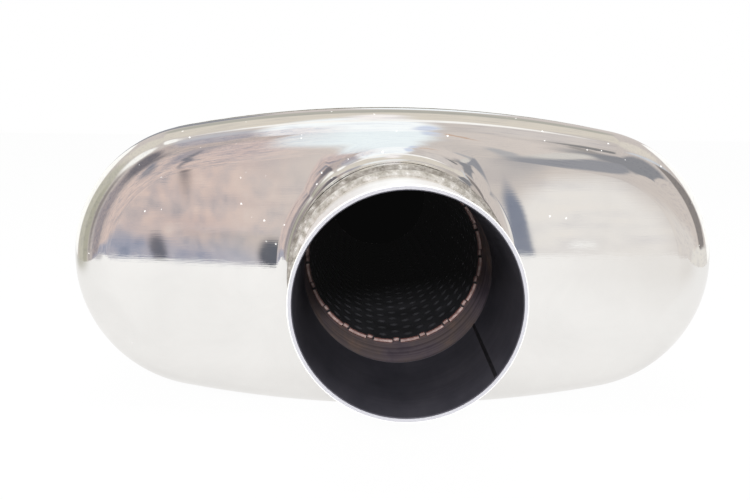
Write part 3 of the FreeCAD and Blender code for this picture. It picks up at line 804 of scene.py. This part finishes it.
def wound_strands():
    """Geometry Nodes: wind strands of wire round the pipe axis, each a short helix of its own."""
    tree, add, given = node_tree("wound_strands", Int="Strands Seed",
        Float="Bore Outside Reach Radius Height", Material="Finish")
    turns = add("GeometryNodeCurveSpiral", {"Resolution": 26, "Rotations": 1.2, "Start Radius": 1.0,
        "End Radius": 1.0, "Height": 0.35})
    level = add("GeometryNodeTransform", {"Geometry": turns, "Rotation": (pi / 2, 0.0, 0.0)})
    points = add("GeometryNodePoints", {"Count": given["Strands"]})
    back = add("Math", {0: given["Reach"], 1: -1.0}, "MULTIPLY")
    along = add("FunctionNodeRandomValue", {2: back, 3: given["Reach"], "Seed": given["Seed"]})
    reach = add("FunctionNodeRandomValue", {2: given["Bore"], 3: given["Outside"],
        "ID": add("GeometryNodeInputIndex"), "Seed": given["Seed"]})
    other = add("Math", {0: given["Seed"], 1: 7.0}, "ADD")
    swing = add("FunctionNodeRandomValue", {2: 0.0, 3: 2 * pi, "Seed": other})
    spot = add("CombineXYZ", {"Y": along, "Z": given["Height"]})
    placed = add("GeometryNodeSetPosition", {"Geometry": points, "Position": spot})
    turned = add("CombineXYZ", {"Y": swing})
    wound = add("GeometryNodeInstanceOnPoints", {"Points": placed, "Instance": level,
        "Rotation": add("FunctionNodeEulerToRotation", {"Euler": turned}), "Scale": reach})
    section = add("GeometryNodeCurvePrimitiveCircle", {"Resolution": 3, "Radius": given["Radius"]})
    loose = add("GeometryNodeRealizeInstances", {"Geometry": wound})
    wire = add("GeometryNodeCurveToMesh", {"Curve": loose, "Profile Curve": section, "Fill Caps": True})
    joined = add("GeometryNodeJoinGeometry")
    tree.links.new(wire.outputs["Mesh"], joined.inputs["Geometry"])
    tree.links.new(given["Geometry"], joined.inputs["Geometry"])
    return closed_tree(tree, given, joined)


def lumpy_tube(name, bore, outer, reach, step):
    """A closed tube on the pipe axis, with shallow lumps all over its outside."""
    along = round(2 * reach / step)
    profile = [(bore, -reach + 2 * reach * i / along) for i in range(along + 1)]
    profile += [(outer, reach - 2 * reach * i / along) for i in range(along + 1)]
    size = len(profile)
    spots, faces = [], []
    for k in range(TUBE_COLUMNS):
        turn = 2 * pi * k / TUBE_COLUMNS
        # Seven lumps go round, and they drift along the tube
        lump = 0.35 * MM * sin(7 * turn + 1.3)
        for radius, y in profile:
            if radius == outer:
                radius -= lump * sin(y / (9 * MM) + 3 * turn) + 0.5 * MM
            spots.append((radius * sin(turn), y, AXIS_HEIGHT + radius * cos(turn)))
        here, there = k * size, (k + 1) % TUBE_COLUMNS * size
        for i in range(size):
            j = (i + 1) % size
            faces.append((here + i, here + j, there + j, there + i))
    mesh = bpy.data.meshes.new(name)
    mesh.from_pydata(spots, [], faces)
    return mesh


wool_wrap = new_object("wool_wrap", lumpy_tube("wool_wrap", WOOL_BORE + 0.35 * MM, WOOL_OUTER,
    WOOL_HIGH[1] - 0.3 * MM, 4 * MM))
apply_tree(wool_wrap, wound_strands(), Strands=STRANDS, Bore=WOOL_BORE + STRAND_RADIUS,
    Outside=WOOL_OUTER - STRAND_RADIUS, Reach=WOOL_HIGH[1] - 8 * MM, Height=AXIS_HEIGHT, Seed=5,
    Finish=wire_wool(), Radius=STRAND_RADIUS)
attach(wool_wrap, "root")
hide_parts("steel_wool_wrap")

# Glass fibre packing
# A needled blanket folded into the case to fill it: off-white, matt and full of loose
# fibres, a little lumpy where it is pressed against the sheet.
LUMP = 1.0 * MM


def glass_fibre():
    """Off-white needled glass fibre: matt, with fine tangled threads."""
    material, add, place = new_material("needled_glass_fibre")
    # Threads 0.8 mm apart, tangled
    threads = add("TexNoise", {"Vector": place, "Scale": 1200.0, "Detail": 6.0, "Distortion": 2.5})
    colour = add("ValToRGB", {0: threads}, stops=[(0.30, "#c9c3b3"), (0.50, "#e4dfd2"),
        (0.72, "#f4f1e9")])
    bump = add("Bump", {"Height": threads, "Strength": 0.6, "Distance": 0.0006})
    return surfaced(material, add("BsdfPrincipled", {"Base Color": colour, "Roughness": 0.9,
        "Sheen Weight": 0.3, "Sheen Roughness": 0.5, "Normal": bump}))


def pressed_lumps():
    """Geometry Nodes: sink a surface by soft lumps, so that it stays inside its own outline."""
    tree, add, given = node_tree("pressed_lumps", Float="Depth Scale", Material="Finish")
    noise = add("TexNoise", {"Scale": given["Scale"], "Detail": 3.0})
    sink = add("Math", {0: noise, 1: given["Depth"]}, "MULTIPLY")
    inward = add("Math", {0: sink, 1: -1.0}, "MULTIPLY")
    normal = add("GeometryNodeInputNormal")
    offset = add("VectorMath", {0: normal, "Scale": inward}, "SCALE")
    moved = add("GeometryNodeSetPosition", {"Geometry": given["Geometry"], "Offset": offset})
    return closed_tree(tree, given, moved)


def merged_copy(name, node):
    """A copy of a CAD node's mesh with its loose triangles joined up."""
    mesh = bpy.data.meshes.new(name)
    build = bmesh.new()
    build.from_mesh(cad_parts[node].data)
    bmesh.ops.remove_doubles(build, verts=build.verts, dist=0.01 * MM)
    build.to_mesh(mesh)
    build.free()
    return mesh


fibre_blanket = new_object("fibre_blanket", merged_copy("fibre_blanket", "glass_fibre_packing"))
grid = fibre_blanket.modifiers.new("grid", "REMESH")
grid.mode = "VOXEL"
grid.voxel_size = 3.0 * MM
settle(fibre_blanket)
apply_tree(fibre_blanket, pressed_lumps(), Depth=LUMP, Scale=55.0, Finish=glass_fibre())
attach(fibre_blanket, "root")
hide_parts("glass_fibre_packing")

# Stage
# A white table and surround, and a room that only the mirror polish sees: a box whose
# walls carry soft shapes, as a dim workshop with a window and a softbox would.
# Places and sizes are in millimetres. Each shape has a middle, a reach, the softness of
# its edge, its colour and, where it leans, its lean in degrees. Later ones lie on top.
ROOM_HALF_WIDTH, ROOM_DEPTH, ROOM_HEIGHT = 460, 570, 780
# The steel gives back about four fifths of what it sees, and the room makes up for that
ROOM_GLOW = 1.24


def soft_shapes(add, place, base, shapes):
    """A colour with soft-edged ellipsoids of other colours laid over it."""
    drift = add("TexNoise", {"Vector": place, "Scale": 11.0, "Detail": 3.0})
    swing = add("VectorMath", {0: drift.outputs["Color"], 1: (0.5, 0.5, 0.5)}, "SUBTRACT")
    moved = add("VectorMath", {0: swing, 1: (0.03, 0.03, 0.03), 2: place}, "MULTIPLY_ADD")
    colour = linear(base)
    for middle, reach, edge, shade, *lean in shapes:
        framed = add("Mapping", {"Vector": moved, "Location": tuple(value * MM for value in middle),
            "Rotation": tuple(radians(value) for value in lean or (0, 0, 0)),
            "Scale": tuple(value * MM for value in reach)}, vector_type="TEXTURE")
        ball = add("TexGradient", {"Vector": framed}, gradient_type="SPHERICAL")
        mask = add("MapRange", {"Value": ball.outputs["Fac"], "From Max": edge},
            interpolation_type="SMOOTHSTEP")
        colour = add("Mix", {"Factor": mask, 6: colour, 7: linear(shade)}, data_type="RGBA")
    return colour


ROOM_SHAPES = [
    # Left wall: olive and beige furniture, white beyond, a window, a door edge, grey cloth
    ((-460, -110, 150), (60, 200, 330), 0.5, "#bab8ac"),
    ((-460, -190, 110), (60, 75, 210), 0.5, "#aaa89b"),
    ((-460, 0, 560), (100, 220, 270), 0.5, "#d2cdc3"),
    ((-460, 330, 150), (90, 340, 260), 0.15, "#fbfbf8"),
    ((-460, -440, 150), (80, 160, 260), 0.6, "#a7a3a6"),
    ((-460, -470, 480), (170, 200, 270), 0.6, "#7f7f85"),
    ((-460, -230, 490), (60, 95, 200), 0.5, "#f6f6f3"),
    ((-460, -285, 170), (60, 55, 260), 0.8, "#8f8987"),
    # Front wall, left half: a rosy wall, shelf uprights, blue-grey cloth on the floor
    ((-250, -570, 150), (260, 100, 420), 0.5, "#dacec8"),
    ((-340, -570, 310), (50, 60, 210), 0.8, "#9b9ea6", 0, -25, 0),
    ((-236, -570, 380), (52, 60, 290), 0.9, "#adacb3", 0, -4, 0),
    ((-150, -570, 360), (64, 60, 330), 0.6, "#d5cac7", 0, -10, 0),
    ((-205, -570, 300), (9, 60, 260), 0.7, "#8f9198", 0, -11, 0),
    ((-156, -570, 80), (9, 60, 44), 0.8, "#8b8789", 0, -10, 0),
    ((-300, -570, -6), (310, 340, 38), 0.4, "#b3b8c5"),
    ((-168, -530, 12), (9, 60, 15), 0.6, "#747882"),
    ((-74, -505, 9), (13, 60, 14), 0.6, "#646871"),
    # Overhead: the softbox with its blue-white glow down the front wall
    ((-30, -570, 620), (135, 70, 450), 0.3, "#e9f2f6"),
    ((85, -570, 640), (26, 60, 170), 0.6, "#ccd5e6"),
    # Front wall, right half: a warm wall, a reveal, a light batten
    ((175, -570, 500), (110, 70, 400), 0.4, "#cfc7c2"),
    ((118, -570, 560), (10, 60, 150), 0.6, "#c3ab9b", 0, -5, 0),
    ((118, -570, 200), (17, 60, 130), 0.6, "#b0afb1"),
    # A dark arch in the right corner, with the pale wall that it spans
    ((500, -560, 410), (300, 350, 262), 0.3, "#8b8c91"),
    ((345, -570, 640), (34, 60, 180), 0.8, "#9d9997", 0, 17, 0),
    ((215, -570, 215), (60, 60, 200), 0.3, "#94959b", 0, 36, 0),
    ((470, -430, 15), (290, 340, 322), 0.06, "#c9c1bc"),
    ((430, -520, 0), (310, 330, 140), 0.5, "#d4cfcb"),
    ((170, -570, 5), (95, 60, 64), 0.3, "#e2dfdc"),
    ((208, -570, 310), (26, 60, 205), 0.6, "#cfccc8", 0, 27, 0),
    ((121, -570, 4), (9.5, 60, 66), 0.35, "#7f8594", 0, -16, 0),
    ((172, -570, 6), (16, 60, 3.2), 0.5, "#fffffb"),
    # Right wall: a dark doorway, white beyond, and a cold streak of daylight
    ((460, -50, 580), (100, 220, 260), 0.5, "#d6d0c7"),
    ((460, 270, 150), (90, 350, 260), 0.12, "#fcfcfa"),
    ((460, -165, 190), (60, 98, 250), 0.3, "#878280"),
    ((460, -200, 0), (60, 270, 60), 0.2, "#dddad5"),
    ((460, -200, 480), (60, 36, 270), 0.6, "#c9cdd3", 34, 0, 0),
    # Ceiling: grey and rosy boards beside the softbox, a strip of light, beige and olive behind
    ((-300, -380, 780), (150, 270, 60), 0.6, "#b9b9c0"),
    ((-440, -180, 780), (110, 110, 60), 0.5, "#f8f8f6"),
    ((300, -330, 780), (180, 300, 60), 0.5, "#cbc5c2"),
    ((440, -550, 780), (160, 90, 60), 0.6, "#858485"),
    ((0, 250, 780), (900, 430, 90), 0.25, "#d3cdc3"),
    ((0, 520, 780), (900, 230, 220), 0.4, "#b0afa7"),
    ((-55, -430, 780), (185, 500, 90), 0.3, "#f4f9fc"),
    ((0, 20, 780), (80, 220, 60), 0.7, "#f3efee"),
    ((85, -440, 780), (30, 150, 60), 0.6, "#cfd7e8"),
    ((30, -140, 780), (440, 62, 60), 0.5, "#f6f5f3"),
    # Back wall, which the photograph doesn't show: a curtain, a softbox glow, a low bench
    ((-300, 570, 330), (170, 60, 280), 0.3, "#8c8e94", 0, 8, 0),
    ((90, 570, 380), (150, 60, 200), 0.4, "#eef3f6"),
    ((230, 570, 20), (330, 100, 66), 0.35, "#a9acb3"),
]
# The mirrored table is a little shaded towards its left corner and on its right
TABLE_SHAPES = [
    ((-460, -560, 0), (180, 180, 30), 0.6, "#b4b1b6"),
    ((330, -500, 0), (260, 330, 30), 0.8, "#e2deda"),
    ((-460, -60, 0), (190, 270, 30), 0.8, "#bdbbaf"),
]


def room_walls():
    """The reflected room: soft shapes under fine level lines, mottled in its left half."""
    material, add, place = new_material("soft_studio_room")
    blotch = add("TexNoise", {"Vector": place, "Scale": 52.0, "Detail": 8.0, "Roughness": 0.78,
        "Distortion": 0.4})
    mottle = add("ValToRGB", {0: blotch}, stops=[(0.34, "#b3bac8"), (0.45, "#e2e0e5"),
        (0.54, "#faeeea"), (0.66, "#ffffff")])
    side = add("SeparateXYZ", {0: place})
    leftward = add("MapRange", {"Value": side.outputs["X"], "From Min": -0.04, "From Max": -0.13})
    nearby = add("MapRange", {"Value": side.outputs["Y"], "From Min": -0.30, "From Max": -0.38})
    share = add("Math", {0: leftward, 1: nearby}, "MULTIPLY")
    mottled = add("Mix", {"Factor": share, 6: soft_shapes(add, place, "#c6bfbb", ROOM_SHAPES),
        7: mottle}, data_type="RGBA", blend_type="MULTIPLY")
    stretch = add("Mapping", {"Vector": place, "Scale": (16.0, 16.0, 110.0)})
    noise = add("TexNoise", {"Vector": stretch, "Scale": 1.0, "Detail": 5.0, "Roughness": 0.6})
    streak = add("ValToRGB", {0: noise}, stops=[(0.30, "#e8e8ec"), (0.50, "#fbfbfb"),
        (0.75, "#fffdfa")])
    colour = add("Mix", {"Factor": 1.0, 6: mottled, 7: streak}, data_type="RGBA", blend_type="MULTIPLY")
    return surfaced(material, add("Emission", {"Color": colour, "Strength": ROOM_GLOW}))


def white_table():
    """White table: shows white to the eye, a soft grey to the mirror, and keeps a shadow."""
    material, add, place = new_material("white_table")
    path = add("LightPath")
    mirrored = add("Math", {0: path.outputs["Is Glossy Ray"], 1: path.outputs["Is Transmission Ray"]},
        "MAXIMUM")
    matt = add("BsdfDiffuse", {"Color": linear("#f4f4f4")})
    seen = add("MixShader", {0: 0.97, 1: matt, 2: add("Emission", {"Color": linear("#ffffff")})})
    tone = soft_shapes(add, place, "#f6f5f4", TABLE_SHAPES)
    shown = add("MixShader", {0: 0.82, 1: matt, 2: add("Emission", {"Color": tone})})
    direct = add("MixShader", {0: path.outputs["Is Camera Ray"], 1: matt, 2: seen})
    both = add("MixShader", {0: mirrored, 1: direct, 2: shown})
    return surfaced(material, both)


def painted_shade_card():
    """A card that shows as near black from anywhere: painted shade for the dark depth of the bore."""
    material, add, _ = new_material("painted_shade_card")
    return surfaced(material, add("Emission", {"Color": linear("#090909")}))


def stage_piece(name, corners, faces, material, mirror_only=False):
    """A stage mesh from corners in millimetres; the room's walls show only in reflections."""
    mesh = bpy.data.meshes.new(name)
    mesh.from_pydata([tuple(value * MM for value in corner) for corner in corners], [], faces)
    mesh.materials.append(material)
    piece = new_object(name, mesh)
    if mirror_only:
        piece.visible_camera = False
        piece.visible_diffuse = False
        piece.visible_shadow = False


ROOM_FINISH = room_walls()
TABLE_HALF = 6000
stage_piece("table", [(-TABLE_HALF, -TABLE_HALF, 0), (TABLE_HALF, -TABLE_HALF, 0),
    (TABLE_HALF, TABLE_HALF, 0), (-TABLE_HALF, TABLE_HALF, 0)], [(0, 1, 2, 3)], white_table())
stage_piece("room", [(x, y, z) for z in (-2, ROOM_HEIGHT) for x, y in ((-ROOM_HALF_WIDTH, -ROOM_DEPTH),
    (ROOM_HALF_WIDTH, -ROOM_DEPTH), (ROOM_HALF_WIDTH, ROOM_DEPTH), (-ROOM_HALF_WIDTH, ROOM_DEPTH))],
    [(0, 1, 5, 4), (1, 2, 6, 5), (2, 3, 7, 6), (3, 0, 4, 7), (4, 5, 6, 7)], ROOM_FINISH,
    mirror_only=True)
# The foot of the cloth comes forward towards the neck, so its edge slopes in the mirror
stage_piece("cloth", [(-338, -569, 0), (-50, -497, 0), (-50, -497, 24), (-338, -569, 24)],
    [(0, 1, 2, 3)], ROOM_FINISH, mirror_only=True)

# The photograph looks down the bore into the dark, so a black card stands deep in the
# core: from neither end does the white surround shine through.
FLAG_STATION = 100.0
FLAG_RADIUS = 31.88
# The card is painted shade: a near-black sheet where the bore is only dark
stage_piece("painted_shade_flag",
    [(FLAG_RADIUS * cos(radians(turn)), FLAG_STATION, AXIS_HEIGHT / MM + FLAG_RADIUS
    * sin(radians(turn))) for turn in range(0, 360, 3)], [tuple(range(120))], painted_shade_card())

world = bpy.data.worlds.new("white_studio")
bpy.context.scene.world = world
world.use_nodes = True
world.node_tree.nodes.clear()
add = partial(add_node, world.node_tree)
sky_path = add("LightPath")
sky_seen = add("Math", {0: sky_path.outputs["Is Camera Ray"], 1: sky_path.outputs["Is Glossy Ray"]},
    "MAXIMUM")
sky_seen = add("Math", {0: sky_seen, 1: sky_path.outputs["Is Transmission Ray"]}, "MAXIMUM")
ambient = add("Background", {"Color": linear("#ffffff"), "Strength": 0.6})
backdrop = add("Background", {"Color": linear("#ffffff"), "Strength": 1.0})
sky_mix = add("MixShader", {0: sky_seen, 1: ambient, 2: backdrop})
add("OutputWorld", {"Surface": sky_mix})


def add_lamp(name, place, aim, size, power):
    """A soft area lamp at a place, turned to a point, in millimetres. The mirror shows the
    room instead of it."""
    data = bpy.data.lights.new(name, "AREA")
    data.size = size * MM
    data.energy = power
    lamp = new_object(name, data)
    lamp.location = Vector(place) * MM
    lamp.rotation_euler = (Vector(place) - Vector(aim)).to_track_quat("Z", "Y").to_euler()
    lamp.visible_glossy = False


add_lamp("key_lamp", (-60, -1360, 500), (0, -246, 55), 120, 16)
add_lamp("top_lamp", (-40, -250, 1100), (0, -100, 50), 700, 6)

# Camera
# Above the neck and a little to its left, as the photograph was taken.
CAMERA_PLACE = (-14.8, -474.1, 105.3)
CAMERA_LENS = 40.8
CAMERA_PITCH, CAMERA_YAW, CAMERA_ROLL = 8.5, 1.38, 0.72
camera_data = bpy.data.cameras.new("camera")
camera_data.lens = CAMERA_LENS
camera_data.sensor_width = 36.0
camera_data.clip_start = 0.01
camera = new_object("camera", camera_data)
camera.location = Vector(CAMERA_PLACE) * MM
camera.rotation_euler = (Matrix.Rotation(-radians(CAMERA_YAW), 3, "Z") @ Matrix.Rotation(
    radians(90 - CAMERA_PITCH), 3, "X") @ Matrix.Rotation(radians(CAMERA_ROLL), 3, "Z")).to_euler()
bpy.context.scene.camera = camera
bpy.context.scene.view_settings.view_transform = "Standard"
